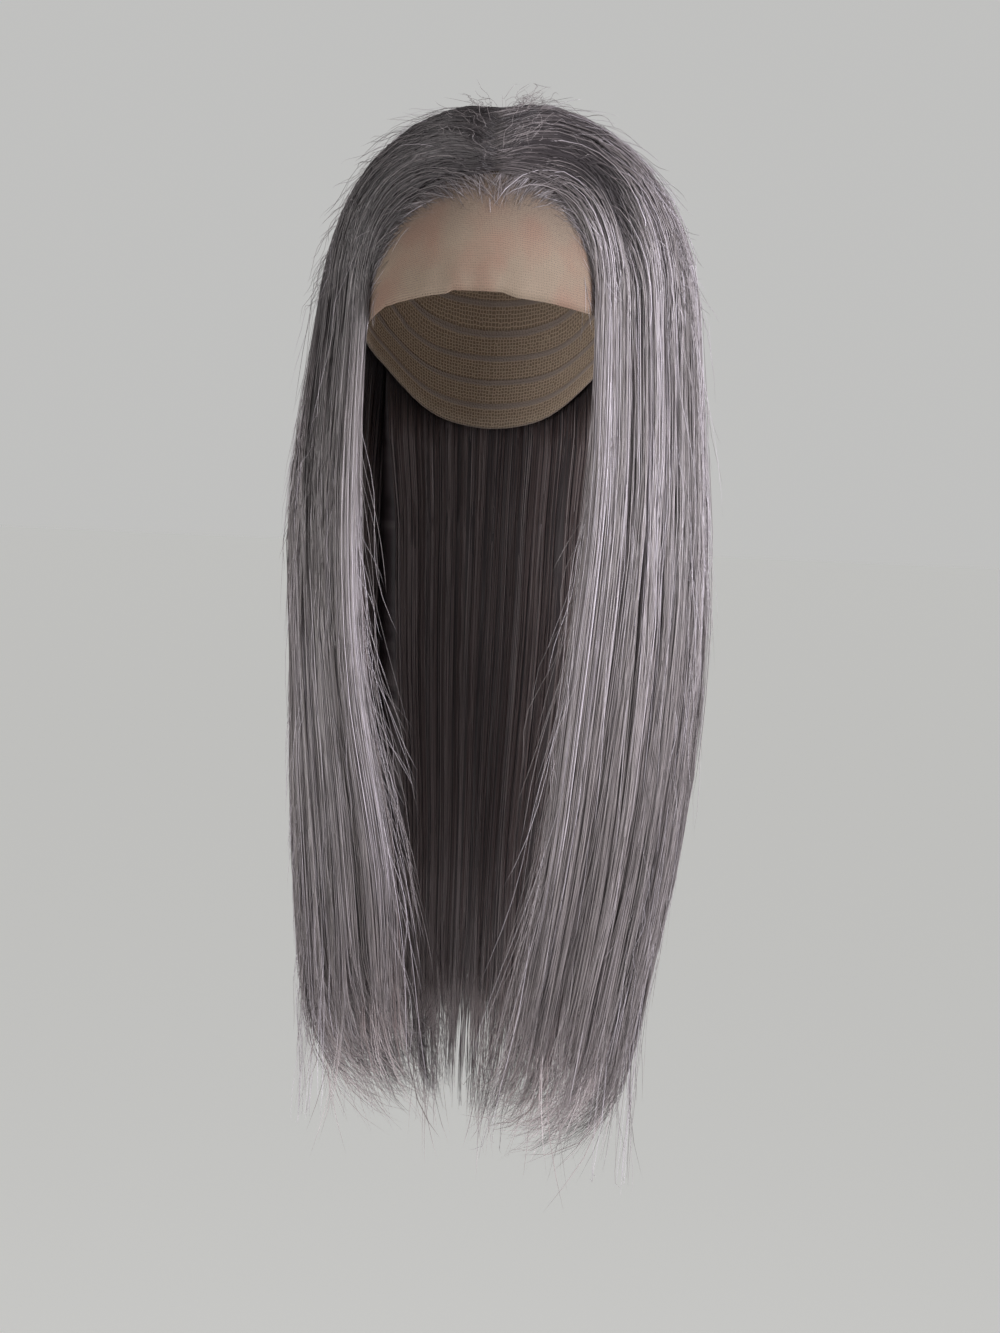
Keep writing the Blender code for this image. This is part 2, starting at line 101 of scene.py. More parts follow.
# Part line on the crown, and the hair's rise over it.
PART_FRONT = -0.0839
PART_LENGTH = 0.129
MOUND_LEFT = 0.0070
MOUND_RIGHT = 0.0100
PART_RISE = 0.0040
CLEFT_REACH = 0.11
DOME_FRONT_POWER = 2.1
DOME_LEFT_POWER = 1.76
DOME_RIGHT_POWER = 1.78
REST = 0.0035
PART_SEAT = 0.0016
EDGE_SEAT = 0.0013
EDGE_SEAT_REACH = 0.05

LOCK_BORDERS = (0.0, 0.075, 0.16, 0.25, 0.345, 0.435, 0.53, 0.62, 0.71, 0.80, 0.90, 1.0)
SECTIONS = {"front": (0.0, 0.25), "side": (0.25, 0.62), "back": (0.62, 1.0)}
RELIEF_PLACES = (0.0, 0.3, 1.0, 1.5, 2.0)
RELIEF_DEPTHS = (0.0, 0.0022, 0.0030, 0.0050, 0.0060)

# Hollow above the swept front lock, right of the part.
HOLLOW_PLACE = 0.085
HOLLOW_WIDTH = 0.032
HOLLOW_ROW = 0.62
HOLLOW_ROWS = 0.22
HOLLOW_DEPTH = 0.0045

# Inner layer at the nape: azimuths from the front, heights, and the cap latitude where it is rooted.
NAPE_FROM = 128.0
NAPE_TO = 232.0
NAPE_ROOT = -0.128
NAPE_END = -0.560
NAPE_LATITUDE = 126.0

# Rows of points down a strand: row 0 is the part, 1 the widest level, 2 the ends.
LONG_ROWS = (0.0, 0.04, 0.10, 0.19, 0.32, 0.52, 0.80, 1.12, 1.45, 1.68, 1.82, 1.89, 1.95, 2.00, 2.05)
FALL_ROWS = (0.90, 1.15, 1.45, 1.68, 1.82, 1.89, 1.95, 2.00, 2.05)


def smooth(x):
    x = np.clip(x, 0.0, 1.0)
    return x * x * (3.0 - 2.0 * x)


def mix(a, b, share):
    return a + (b - a) * share


def curve(x, places, values):
    """Smooth curve through a row of values, flat beyond its ends."""
    places = np.asarray(places, float)
    values = np.asarray(values, float)
    order = np.argsort(places)
    places, values = places[order], values[order]
    slopes = np.gradient(values, places)
    x = np.clip(x, places[0], places[-1])
    low = np.clip(np.searchsorted(places, x, side="right") - 1, 0, len(places) - 2)
    span = places[low + 1] - places[low]
    t = (x - places[low]) / span
    start = (1.0 + 2.0 * t) * (1.0 - t) ** 2 * values[low] + t * (1.0 - t) ** 2 * span * slopes[low]
    end = t * t * (3.0 - 2.0 * t) * values[low + 1] + t * t * (t - 1.0) * span * slopes[low + 1]
    return start + end


def level(rows, name, height, columns=COLUMNS):
    values = np.array(rows)
    return curve(height, values[:, 0], values[:, columns.index(name)])


def cap_height(x, y, offset):
    reach = np.sqrt((x / (CAP_WIDE + offset)) ** 2 + (y / (CAP_DEEP + offset)) ** 2)
    rise = (1.0 - np.clip(reach, 0.0, 1.0) ** CAP_POWER) ** (1.0 / CAP_POWER)
    return (CAP_TALL + offset) * rise - CAP_TALL


def on_cap_form(points, lift):
    """The places on the cap's form, grown by lift, that lie under or over the points."""
    middle = np.array([0.0, 0.0, CAP_TALL])
    scaled = (points + middle) / (np.array([CAP_WIDE, CAP_DEEP, CAP_TALL]) + lift)
    reach = np.hypot(scaled[..., 0], scaled[..., 1])
    size = (reach**CAP_POWER + np.maximum(scaled[..., 2], 0.0) ** CAP_POWER) ** (1.0 / CAP_POWER)
    return (points + middle) / size[..., None] - middle


def cap_points(azimuth, latitude, offset=0.0):
    """Points of the cap's form by azimuth from the front and latitude from the crown."""
    round_angle = np.radians(azimuth)
    down_angle = np.radians(np.clip(latitude, 0.0, 90.0))
    drop = np.maximum(latitude - 90.0, 0.0) * DROP_PER_DEGREE
    reach = np.sin(down_angle) ** (2.0 / CAP_POWER)
    reach = reach * (1.0 - TUCK_SHARE * (drop / TUCK_DEPTH) ** 2)
    rise = np.maximum(np.cos(down_angle), 0.0) ** (2.0 / CAP_POWER)
    x = (CAP_WIDE + offset) * reach * np.sin(round_angle)
    y = -(CAP_DEEP + offset) * reach * np.cos(round_angle)
    z = (CAP_TALL + offset) * rise - CAP_TALL - drop
    return np.stack([x, y, z], axis=-1)


def oval(angle, half_wide, front, back, power, side):
    sine = np.sin(angle)
    cosine = np.cos(angle)
    x = side * half_wide * np.sign(sine) * np.abs(sine) ** (2.0 / power)
    y = np.where(cosine > 0.0, -front, back) * np.abs(cosine) ** (2.0 / power)
    return x, y


def edge_seat(u):
    return EDGE_SEAT * (1.0 - smooth(u / EDGE_SEAT_REACH))


def hanging_oval(side, u, height, outside):
    """Plan place of the hair at a height, from the front edge (u 0) to the back (u 1)."""
    name = side_name(side)
    edge = level(EDGE, "edge_" + name, height, EDGE_COLUMNS)
    wide = level(OUTSIDE, "side_" + name, height)
    start = np.arcsin((edge / wide) ** (OUTSIDE_POWER / 2.0))
    angle = start + (np.pi - start) * u
    if outside:
        front = level(OUTSIDE, "front_" + name, height)
        return oval(angle, wide, front, level(OUTSIDE, "back", height), OUTSIDE_POWER, side)
    seat = edge_seat(u) * (1.0 - smooth((LEAVE_HEIGHT - height) / 0.09))
    wide = level(INSIDE, "side_" + name, height) - seat
    front = level(INSIDE, "front_" + name, height) - seat
    inner_start = np.arcsin(((edge - 0.002) / wide) ** (INSIDE_POWER / 2.0))
    angle = angle + (inner_start - start) * (1.0 - u) ** 3
    return oval(angle, wide, front, level(INSIDE, "back", height) - seat, INSIDE_POWER, side)


def crown_points(side, u, row, outside):
    """Hair over the crown, from the part (row 0) out to the widest level (row 1)."""
    u = np.maximum(u, 0.0)
    power = mix(DOME_FRONT_POWER, DOME_LEFT_POWER if side < 0 else DOME_RIGHT_POWER, smooth(u / 0.32))
    down_angle = row * np.pi / 2.0
    reach = np.sin(down_angle) ** (2.0 / power)
    part_y = PART_FRONT + PART_LENGTH * (1.0 - (1.0 - u) ** 1.5)
    leave_x, leave_y = hanging_oval(side, u, LEAVE_HEIGHT + 0.0 * u, outside)
    bend_x = leave_x * mix(0.73, 0.55, u)
    bend_y = mix(part_y, leave_y, mix(0.15 if side < 0 else 0.45, 0.45, u))
    x = 2.0 * reach * (1.0 - reach) * bend_x + reach**2 * leave_x
    y = (1.0 - reach) ** 2 * part_y + 2.0 * reach * (1.0 - reach) * bend_y + reach**2 * leave_y
    if not outside:
        near_part = 1.0 - smooth(reach / 0.12)
        rest = REST - edge_seat(u) - PART_SEAT * near_part * smooth(u / EDGE_SEAT_REACH)
        return np.stack([x, y, cap_height(x, y, rest)], axis=-1)
    mound = mix(PART_RISE, MOUND_LEFT if side < 0 else MOUND_RIGHT, smooth(u / 0.35))
    top = cap_height(0.0 * u, part_y, REST) + mound
    rise = np.maximum(np.cos(down_angle), 0.0) ** (2.0 / power)
    cleft = (mound - PART_RISE) * np.exp(-((reach / CLEFT_REACH) ** 2))
    z = LEAVE_HEIGHT + (top - LEAVE_HEIGHT) * rise - cleft
    return np.stack([x, y, z], axis=-1)


def lock_places(u):
    borders = np.asarray(LOCK_BORDERS)
    index = np.clip(np.searchsorted(borders, u, side="right") - 1, 0, len(borders) - 2)
    return index, np.clip((u - borders[index]) / (borders[index + 1] - borders[index]), 0.0, 1.0)


def end_level(side, u):
    return curve(u, TIP_PLACES, TIP_LEFT if side < 0 else TIP_RIGHT)


def hanging_points(side, u, fall, outside):
    """Hair from the widest level (fall 0) to the level of its ends (fall 1)."""
    height = LEAVE_HEIGHT + (end_level(side, u) - LEAVE_HEIGHT) * fall
    x, y = hanging_oval(side, u, height, outside)
    other_x, other_y = hanging_oval(side, u, height, not outside)
    thin = mix(1.0, 0.30, smooth((fall - 0.5) / 0.5))
    towards = 0.15 if outside else 0.85
    core_x = mix(x, other_x, towards)
    core_y = mix(y, other_y, towards)
    return np.stack([core_x + (x - core_x) * thin, core_y + (y - core_y) * thin, height], axis=-1)


def hair_points(side, u, row, outside):
    """Hair from the part (row 0) over the widest level (row 1) to the ends (row 2)."""
    over = crown_points(side, u, np.clip(row, 0.0, 1.0), outside)
    down = hanging_points(side, u, np.maximum(row - 1.0, 0.0), outside)
    return np.where((row < 1.0)[..., None], over, down)


def relief(side, u, row):
    """How far each lock stands out, and the hollow above the swept front lock."""
    _, across = lock_places(u)
    deep = np.interp(row, RELIEF_PLACES, RELIEF_DEPTHS)
    deep = deep * (0.45 - np.abs(2.0 * across - 1.0) ** 2.5)
    if side < 0:
        return deep
    along = np.exp(-(((row - HOLLOW_ROW) / HOLLOW_ROWS) ** 2))
    return deep - HOLLOW_DEPTH * along * np.exp(-(((u - HOLLOW_PLACE) / HOLLOW_WIDTH) ** 2))


def mass_points(side, u, row, depth):
    """A place in the mass of hair: depth 0 lies inside, depth 1 on the outside."""
    inner = hair_points(side, u, row, False)
    outer = hair_points(side, u, row, True)
    out = outer - inner
    thick = np.maximum(np.linalg.norm(out, axis=-1), 1e-6)
    raised = np.maximum(relief(side, u, row), -0.5 * thick)
    outer = outer + out * (raised / thick)[..., None]
    return inner + (outer - inner) * np.asarray(depth)[..., None]


def nape_points(u, fall, depth):
    """Inner layer at the nape: u runs round the back, fall from its root to its ends."""
    azimuth = mix(NAPE_FROM, NAPE_TO, u)
    height = NAPE_ROOT + (NAPE_END - NAPE_ROOT) * fall
    clear = 0.003 + 0.013 * smooth((fall - 0.25) / 0.55)
    wide_left = level(INSIDE, "side_left", height)
    wide_right = level(INSIDE, "side_right", height)
    wide = np.where(azimuth > 180.0, wide_left, wide_right) - clear
    deep = level(INSIDE, "back", height) - clear
    x = wide * np.sin(np.radians(azimuth))
    y = -deep * np.cos(np.radians(azimuth))
    reach = np.hypot(x, y)
    latitude = 90.0 + (LEAVE_HEIGHT - height) / DROP_PER_DEGREE
    on_cap = cap_points(azimuth, np.minimum(latitude, NAPE_LATITUDE), 0.0021)
    cap_reach = np.hypot(on_cap[..., 0], on_cap[..., 1])
    thick = mix(0.0012, 0.016, smooth(fall / 0.25)) * mix(1.0, 0.2, smooth((fall - 0.6) / 0.4))
    inner_reach = np.minimum(reach - thick, cap_reach + fall)
    inner_reach = np.maximum(inner_reach, np.where(height > -0.170, cap_reach, 0.0))
    share = mix(inner_reach / reach, 1.0, depth)
    return np.stack([x * share, y * share, height], axis=-1)


# Finishes.


class Wire:
    """A shader socket that can be added to, taken from and multiplied, as a number can."""

    def __init__(self, finish, socket):
        self.finish = finish
        self.socket = socket

    def work(self, operation, first, second):
        return self.finish.node("ShaderNodeMath", {"operation": operation}, {0: first, 1: second})

    def __add__(self, other):
        return self.work("ADD", self, other)

    def __sub__(self, other):
        return self.work("SUBTRACT", self, other)

    def __mul__(self, other):
        return self.work("MULTIPLY", self, other)


class Finish:
    """A Principled material whose nodes are made one call at a time."""

    def __init__(self, name, constants):
        self.material = bpy.data.materials.new(name)
        self.material.use_nodes = True
        self.tree = self.material.node_tree
        self.shader = self.tree.nodes["Principled BSDF"]
        for socket, value in constants.items():
            self.shader.inputs[socket].default_value = value

    def put(self, socket, value):
        if value is None:
            return
        if isinstance(value, Wire):
            self.tree.links.new(value.socket, socket)
        else:
            socket.default_value = value

    def node(self, kind, settings, values, output=0):
        """Adds a node: its settings first, then the values or links of its sockets."""
        made = self.tree.nodes.new(kind)
        for name, value in settings.items():
            if name == "stops":
                self.set_stops(made.color_ramp, value)
            else:
                setattr(made, name, value)
        for key, value in values.items():
            self.put(made.inputs[key], value)
        return Wire(self, made.outputs[output])

    def set_stops(self, ramp, stops):
        while len(ramp.elements) < len(stops):
            ramp.elements.new(0.5)
        for element, (place, color) in zip(ramp.elements, stops):
            element.position = place
            element.color = color

    def ramp(self, factor, stops):
        return self.node("ShaderNodeValToRGB", {"stops": stops}, {0: factor})

    def blend(self, factor, first, second):
        values = {0: factor, 6: first, 7: second}
        return self.node("ShaderNodeMix", {"data_type": "RGBA"}, values, 2)

    def span(self, value, low, high, to_low=0.0, to_high=1.0):
        values = {0: value, 1: low, 2: high, 3: to_low, 4: to_high}
        return self.node("ShaderNodeMapRange", {"clamp": True}, values)

    def noise(self, place, scale, detail=2.0, roughness=0.5):
        values = {"Vector": place, "Scale": scale, "Detail": detail, "Roughness": roughness}
        return self.node("ShaderNodeTexNoise", {}, values)

    def net(self, place, scale):
        """Distance to the nearest thread of a net with cells of about 1 / scale."""
        values = {"Vector": place, "Scale": scale, "Randomness": 0.35}
        return self.node("ShaderNodeTexVoronoi", {"feature": "DISTANCE_TO_EDGE"}, values)

    def stretched(self, place, scale):
        return self.node("ShaderNodeVectorMath", {"operation": "MULTIPLY"}, {0: place, 1: scale})

    def wandering(self, place, scale, size):
        """The place moved about by a slow noise."""
        values = {"Vector": self.stretched(place, scale), "Scale": 1.0}
        uneven = self.stretched(self.node("ShaderNodeTexNoise", {}, values, 1), size)
        return self.node("ShaderNodeVectorMath", {"operation": "ADD"}, {0: place, 1: uneven})

    def attribute(self, name):
        return self.node("ShaderNodeAttribute", {"attribute_name": name}, {}, 2)

    def uv(self):
        return self.node("ShaderNodeUVMap", {"uv_map": "flow"}, {})

    def part_of(self, place, axis):
        return self.node("ShaderNodeSeparateXYZ", {}, {0: place}, axis)

    def bump(self, height, strength, distance):
        values = {"Height": height, "Strength": strength, "Distance": distance}
        return self.node("ShaderNodeBump", {}, values)

    def give(self, socket, value):
        self.put(self.shader.inputs[socket], value)


# Painted shade: the mass's deep and dark colours stand for the shade between the strands.
MASS_SHADE_DEEP = (0.026, 0.020, 0.024, 1.0)
MASS_SHADE = (0.090, 0.074, 0.080, 1.0)
HAIR_MID = (0.260, 0.226, 0.232, 1.0)
HAIR_LIGHT = (0.660, 0.600, 0.675, 1.0)
STRAND_DARK = (0.044, 0.036, 0.040, 1.0)
# Painted shade: darker, redder copies of the hair's colours for the strands inside.
INNER_SHADED_DARK = (0.055, 0.032, 0.033, 1.0)
INNER_SHADED_MID = (0.235, 0.172, 0.175, 1.0)
INNER_SHADED_LIGHT = (0.640, 0.570, 0.590, 1.0)
LACE_BEIGE = (0.262, 0.202, 0.156, 1.0)
LACE_PINK = (0.258, 0.165, 0.127, 1.0)
# Painted shade on the lace by the hairline.
LACE_SHADE = (0.165, 0.122, 0.098, 1.0)
LACE_KNOT = (0.070, 0.052, 0.046, 1.0)
LACE_CELLS = 1000.0
CAP_GROUND = (0.30, 0.225, 0.17, 1.0)
CAP_THREAD = (0.66, 0.52, 0.40, 1.0)
CAP_ROW = (0.42, 0.345, 0.31, 1.0)
CAP_CELLS = 520.0
CAP_ROW_SCALE = 22.0


def strand_finish(name, dark, middle, light):
    """Single strands, each with its own tone, which drifts along it; the tone also carries painted
    shade.
    """
    finish = Finish(name, {"Specular IOR Level": 0.75})
    tone = finish.attribute("tone")
    finish.give("Base Color", finish.ramp(tone, ((0.0, dark), (0.5, middle), (1.0, light))))
    finish.give("Roughness", finish.span(tone, 0.0, 1.0, 0.40, 0.24))
    return finish.material


# Length of the streaks' map in each section, and where along it the mass wears into wisps.
MASS_LENGTH = {"front": 0.62, "side": 0.59, "back": 0.565}
MASS_FADE = (0.40, 0.60)


def mass_finish():
    """The mass under the top strands: fine streaks along the hair that part into wisps below, painted
    darker than the hair as the shade between the strands, with more painted shade towards the crown
    and less low down.
    """
    finish = Finish("hair_mass", {"Specular IOR Level": 0.45})
    flow = finish.wandering(finish.uv(), (60.0, 4.0, 0.0), (0.016, 0.0, 0.0))
    fine = finish.noise(finish.stretched(flow, (2600.0, 7.0, 0.0)), 1.0)
    broad = finish.noise(finish.stretched(flow, (380.0, 2.5, 0.0)), 1.0)
    streak = fine * 0.65 + broad * 0.45 - 0.05
    height = finish.part_of(finish.node("ShaderNodeTexCoord", {}, {}, 3), 2)
    # Painted shade: darker towards the crown by height, and less of it low down.
    shade = finish.span(streak, 0.30, 0.80) - finish.span(height, -0.20, -0.06, 0.0, 0.34)
    shade = shade + finish.span(height, -0.38, -0.16, 0.26, 0.0)
    color = finish.ramp(shade, ((0.0, MASS_SHADE_DEEP), (0.55, MASS_SHADE), (1.0, HAIR_MID)))
    finish.give("Base Color", color)
    finish.give("Roughness", finish.span(fine, 0.3, 0.7, 0.34, 0.55))
    finish.give("Normal", finish.bump(streak, 0.8, 0.0012))
    worn = finish.span(finish.part_of(flow, 1), MASS_FADE[0], MASS_FADE[1], 0.0, 0.80)
    wisp = fine * 0.5 + broad * 0.5
    finish.give("Alpha", finish.span(wisp - worn, -0.03, 0.03))
    return finish.material


def lace_finish():
    """Sheer net: a fine mesh with a pink tint in patches, and painted shade towards the hairline under
    the hair, where the hair's dark knots lie too.
    """
    finish = Finish("lace_net", {"Roughness": 0.75, "Specular IOR Level": 0.25})
    flow = finish.uv()
    thread = finish.span(finish.net(flow, LACE_CELLS), 0.02, 0.26, 1.0, 0.0)
    down = finish.part_of(flow, 1)
    stain = finish.noise(flow, 30.0, 3.0)
    knots = finish.noise(flow, 900.0, 1.0)
    low = finish.blend(finish.span(stain, 0.42, 0.62), LACE_BEIGE, LACE_PINK)
    # Painted shade towards the hairline, mixed with the hair's dark knots.
    high = finish.blend(finish.span(knots, 0.56, 0.66), LACE_SHADE, LACE_KNOT)
    height = down + stain * 0.016
    finish.give("Base Color", finish.blend(finish.span(height, 0.042, 0.072), high, low))
    finish.give("Alpha", thread * 0.30 + finish.span(height, 0.040, 0.080, 0.66, 0.58))
    finish.give("Normal", finish.bump(thread * 0.3 + stain, 0.3, 0.0003))
    return finish.material


def cap_finish():
    """Stretch net of the cap, with the sewn rows that carry the hair."""
    finish = Finish("cap_net", {"Roughness": 0.85, "Specular IOR Level": 0.2})
    flow = finish.uv()
    thread = finish.span(finish.net(flow, CAP_CELLS), 0.05, 0.24, 1.0, 0.0)
    wave = {"wave_type": "BANDS", "bands_direction": "Y", "wave_profile": "SIN"}
    values = {"Vector": flow, "Scale": CAP_ROW_SCALE, "Distortion": 0.3}
    rows = finish.node("ShaderNodeTexWave", wave, values, 1)
    ridge = finish.span(rows, 0.80, 0.95)
    net = finish.blend(thread, CAP_GROUND, CAP_THREAD)
    finish.give("Base Color", finish.blend(ridge, net, CAP_ROW))
    finish.give("Normal", finish.bump(thread * 0.5 + ridge, 0.6, 0.0008))
    return finish.material


# Bodies.


def side_name(side):
    return "left" if side < 0 else "right"


def grid_of(columns, rows):
    mesh = bmesh.new()
    bmesh.ops.create_grid(mesh, x_segments=columns, y_segments=rows, size=0.5)
    bmesh.ops.translate(mesh, verts=mesh.verts, vec=(0.5, 0.5, 0.0))
    return mesh


def lay(mesh, points_of):
    places = np.array([vertex.co[:] for vertex in mesh.verts])
    points = points_of(places[:, 0], places[:, 1], places[:, 2])
    for vertex, point in zip(mesh.verts, points):
        vertex.co = point


def mark_flow(mesh, scale):
    """Keeps each point's place in the grid as the map that the finish reads, in metres."""
    layer = mesh.loops.layers.uv.new("flow")
    for face in mesh.faces:
        for loop in face.loops:
            loop[layer].uv = (loop.vert.co.x * scale[0], loop.vert.co.y * scale[1])


def add_piece(name, mesh, material):
    data = bpy.data.meshes.new(name)
    mesh.to_mesh(data)
    mesh.free()
    data.materials.append(material)
    data.shade_smooth()
    piece = bpy.data.objects.new(name, data)
    bpy.context.scene.collection.objects.link(piece)
    return piece


def slab(columns, rows, flow_scale, points_of):
    """Closed body one layer deep over a grid from 0 to 1 both ways."""
    mesh = grid_of(columns, rows)
    raised = bmesh.ops.extrude_face_region(mesh, geom=mesh.faces[:], use_keep_orig=True)
    upper = [item for item in raised["geom"] if isinstance(item, bmesh.types.BMVert)]
    bmesh.ops.translate(mesh, verts=upper, vec=(0.0, 0.0, 1.0))
    bmesh.ops.recalc_face_normals(mesh, faces=mesh.faces[:])
    mark_flow(mesh, flow_scale)
    lay(mesh, points_of)
    if mesh.calc_volume(signed=True) < 0.0:
        bmesh.ops.reverse_faces(mesh, faces=mesh.faces[:])
    return mesh


# Shares of a section's grid over the crown and below it, and its grooves in three widths.
CROWN_SHARE = 0.45
FALL_SHARE = 0.55
GROOVES = (38.0, 83.0, 171.0)


def make_mass(place, side, material):
    """The body of a section, a little inside its solid, under the loose strands."""
    low, high = SECTIONS[place]
    phase = np.random.default_rng(11).random(64) * 6.28

    def points_of(x, y, z):
        u = mix(low + (0.016 if low == 0.0 else 0.0), high, x)
        row = np.where(y < CROWN_SHARE, y / CROWN_SHARE, 1.0 + 0.95 * (y - CROWN_SHARE) / FALL_SHARE)
        groove = 0.0
        for k, count in enumerate(GROOVES):
            wander = 0.35 * np.sin(5.0 * row + phase[k])
            groove = groove + np.sin(count * (u + 0.01 * wander) + phase[k + 8]) / (k + 1.5)
        edge = smooth((u - 0.010) / 0.05)
        top = mix(0.35, 0.80, edge) + 0.07 * smooth(row / 0.3) * groove
        points = mass_points(side, u, row, np.where(z > 0.5, top, 0.10))
        points[..., 0] += side * 0.0002
        return points

    mesh = slab(60, 40, ((high - low) * 0.25, MASS_LENGTH[place]), points_of)
    name = f"hair_{place}_{side_name(side)}"
    piece = add_piece(name + "_mass", mesh, material)
    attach(piece, "root")
    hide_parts(name)


def make_nape_mass(material):
    def points_of(x, y, z):
        groove = np.sin(61.0 * x + 2.0 * np.sin(3.0 * y)) + 0.6 * np.sin(143.0 * x)
        depth = np.where(z > 0.5, 0.9, 0.12 + 0.05 * groove)
        return nape_points(x, 0.92 * y, depth)

    piece = add_piece("hair_nape_mass", slab(60, 36, (0.15, MASS_LENGTH["back"]), points_of), material)
    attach(piece, "root")
    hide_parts("hair_nape")


# Strands.

# Strands on each side, in each falling part of it or in the whole nape, and how wide one is.
OVER_COUNT = 1900
OVER_WIDTH = 0.00042
FALL_COUNT = 1600
FALL_WIDTH = 0.00040
FALL_PARTS = (("front", 0.0, 0.42, 11), ("back", 0.42, 1.0, 15))
HAIRLINE_COUNT = 1200
HAIRLINE_WIDTH = 0.00036
BABY_COUNT = 110
BABY_WIDTH = 0.00018
INSIDE_COUNT = 800
NAPE_COUNT = 900
INNER_WIDTH = 0.00042
LOOSE_COUNT = 460
LOOSE_WIDTH = 0.00021
EDGE_COUNT = 80
EDGE_WIDTH = 0.00024
CROWN_COUNTS = ((LEFT, 26), (RIGHT, 54))
CROWN_WIDTH = 0.00022

# Where ends begin to curl in and have curled, by row, and how far round they turn in degrees.
CURL_FROM = 1.82
CURL_TO = 2.03
CURL_TURNS = {LEFT: 130.0, RIGHT: 85.0}
INNER_TURN = 85.0
FLICK_SHARE = 0.035
FLICK_TURN = -0.40


def strand_pattern(points):
    """One closed three-sided strand on a grid: each vertex's turn and step, and the faces."""
    mesh = bmesh.new()
    bmesh.ops.create_grid(mesh, x_segments=3, y_segments=points - 1, size=0.5)
    steps = points - 1
    for vertex in mesh.verts:
        turn = round((vertex.co.x + 0.5) * 3) % 3
        step = round((vertex.co.y + 0.5) * steps)
        vertex.co = (0 if step in (0, steps) else turn, step, 0.0)
    bmesh.ops.remove_doubles(mesh, verts=mesh.verts[:], dist=0.01)
    bmesh.ops.triangulate(mesh, faces=mesh.faces[:])
    mesh.verts.index_update()
    places = np.array([vertex.co[:2] for vertex in mesh.verts]).round().astype(int)
    faces = np.array([[vertex.index for vertex in face.verts] for face in mesh.faces])
    mesh.free()
    return places[:, 0], places[:, 1], faces


def unit(vectors):
    return vectors / np.maximum(np.linalg.norm(vectors, axis=-1, keepdims=True), 1e-9)


def skin(paths, width, root, taper):
    """Vertices and faces of closed three-sided strands along paths."""
    points = paths.shape[1]
    turn, step, faces = strand_pattern(points)
    ahead = unit(np.gradient(paths, axis=1))
    outward = paths * np.array([1.0, 1.0, 0.0]) + np.array([0.0, 0.0, 0.05])
    across = unit(np.cross(ahead, outward))
    up = np.cross(across, ahead)
    t = np.linspace(0.0, 1.0, points)
    body = np.minimum(np.minimum(t / root + 0.25, 1.0), ((1.0 - t) / taper) ** 0.7)
    body[[0, -1]] = 0.0
    radius = 0.5 * width[:, None] * body[None, :]
    angle = turn * (2.0 * np.pi / 3.0)
    ring = across[:, step] * np.cos(angle)[None, :, None] + up[:, step] * np.sin(angle)[None, :, None]
    vertices = paths[:, step] + ring * radius[:, step][..., None]
    shifts = np.arange(len(paths)) * len(turn)
    return vertices, faces[None] + shifts[:, None, None], step


def make_strands(name, paths, width, tone, material, root=0.03, taper=0.18):
    """One piece of many strands: paths is strands by points by 3, tone is strands by points."""
    vertices, faces, step = skin(paths, width, root, taper)
    tone = np.clip(tone + np.zeros(paths.shape[:2]), 0.0, 1.0)
    corners = faces.reshape(-1).astype(np.int32)
    data = bpy.data.meshes.new(name)
    data.vertices.add(vertices.shape[0] * vertices.shape[1])
    data.vertices.foreach_set("co", vertices.reshape(-1).astype(np.float32))
    data.loops.add(len(corners))
    data.loops.foreach_set("vertex_index", corners)
    data.polygons.add(len(corners) // 3)
    data.polygons.foreach_set("loop_start", np.arange(0, len(corners), 3, dtype=np.int32))
    data.update(calc_edges=True)
    keep = data.attributes.new("tone", "FLOAT", "POINT")
    keep.data.foreach_set("value", tone[:, step].reshape(-1).astype(np.float32))
    data.materials.append(material)
    data.shade_smooth()
    piece = bpy.data.objects.new(name, data)
    bpy.context.scene.collection.objects.link(piece)
    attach(piece, "root")


def column(values):
    return np.asarray(values)[:, None]


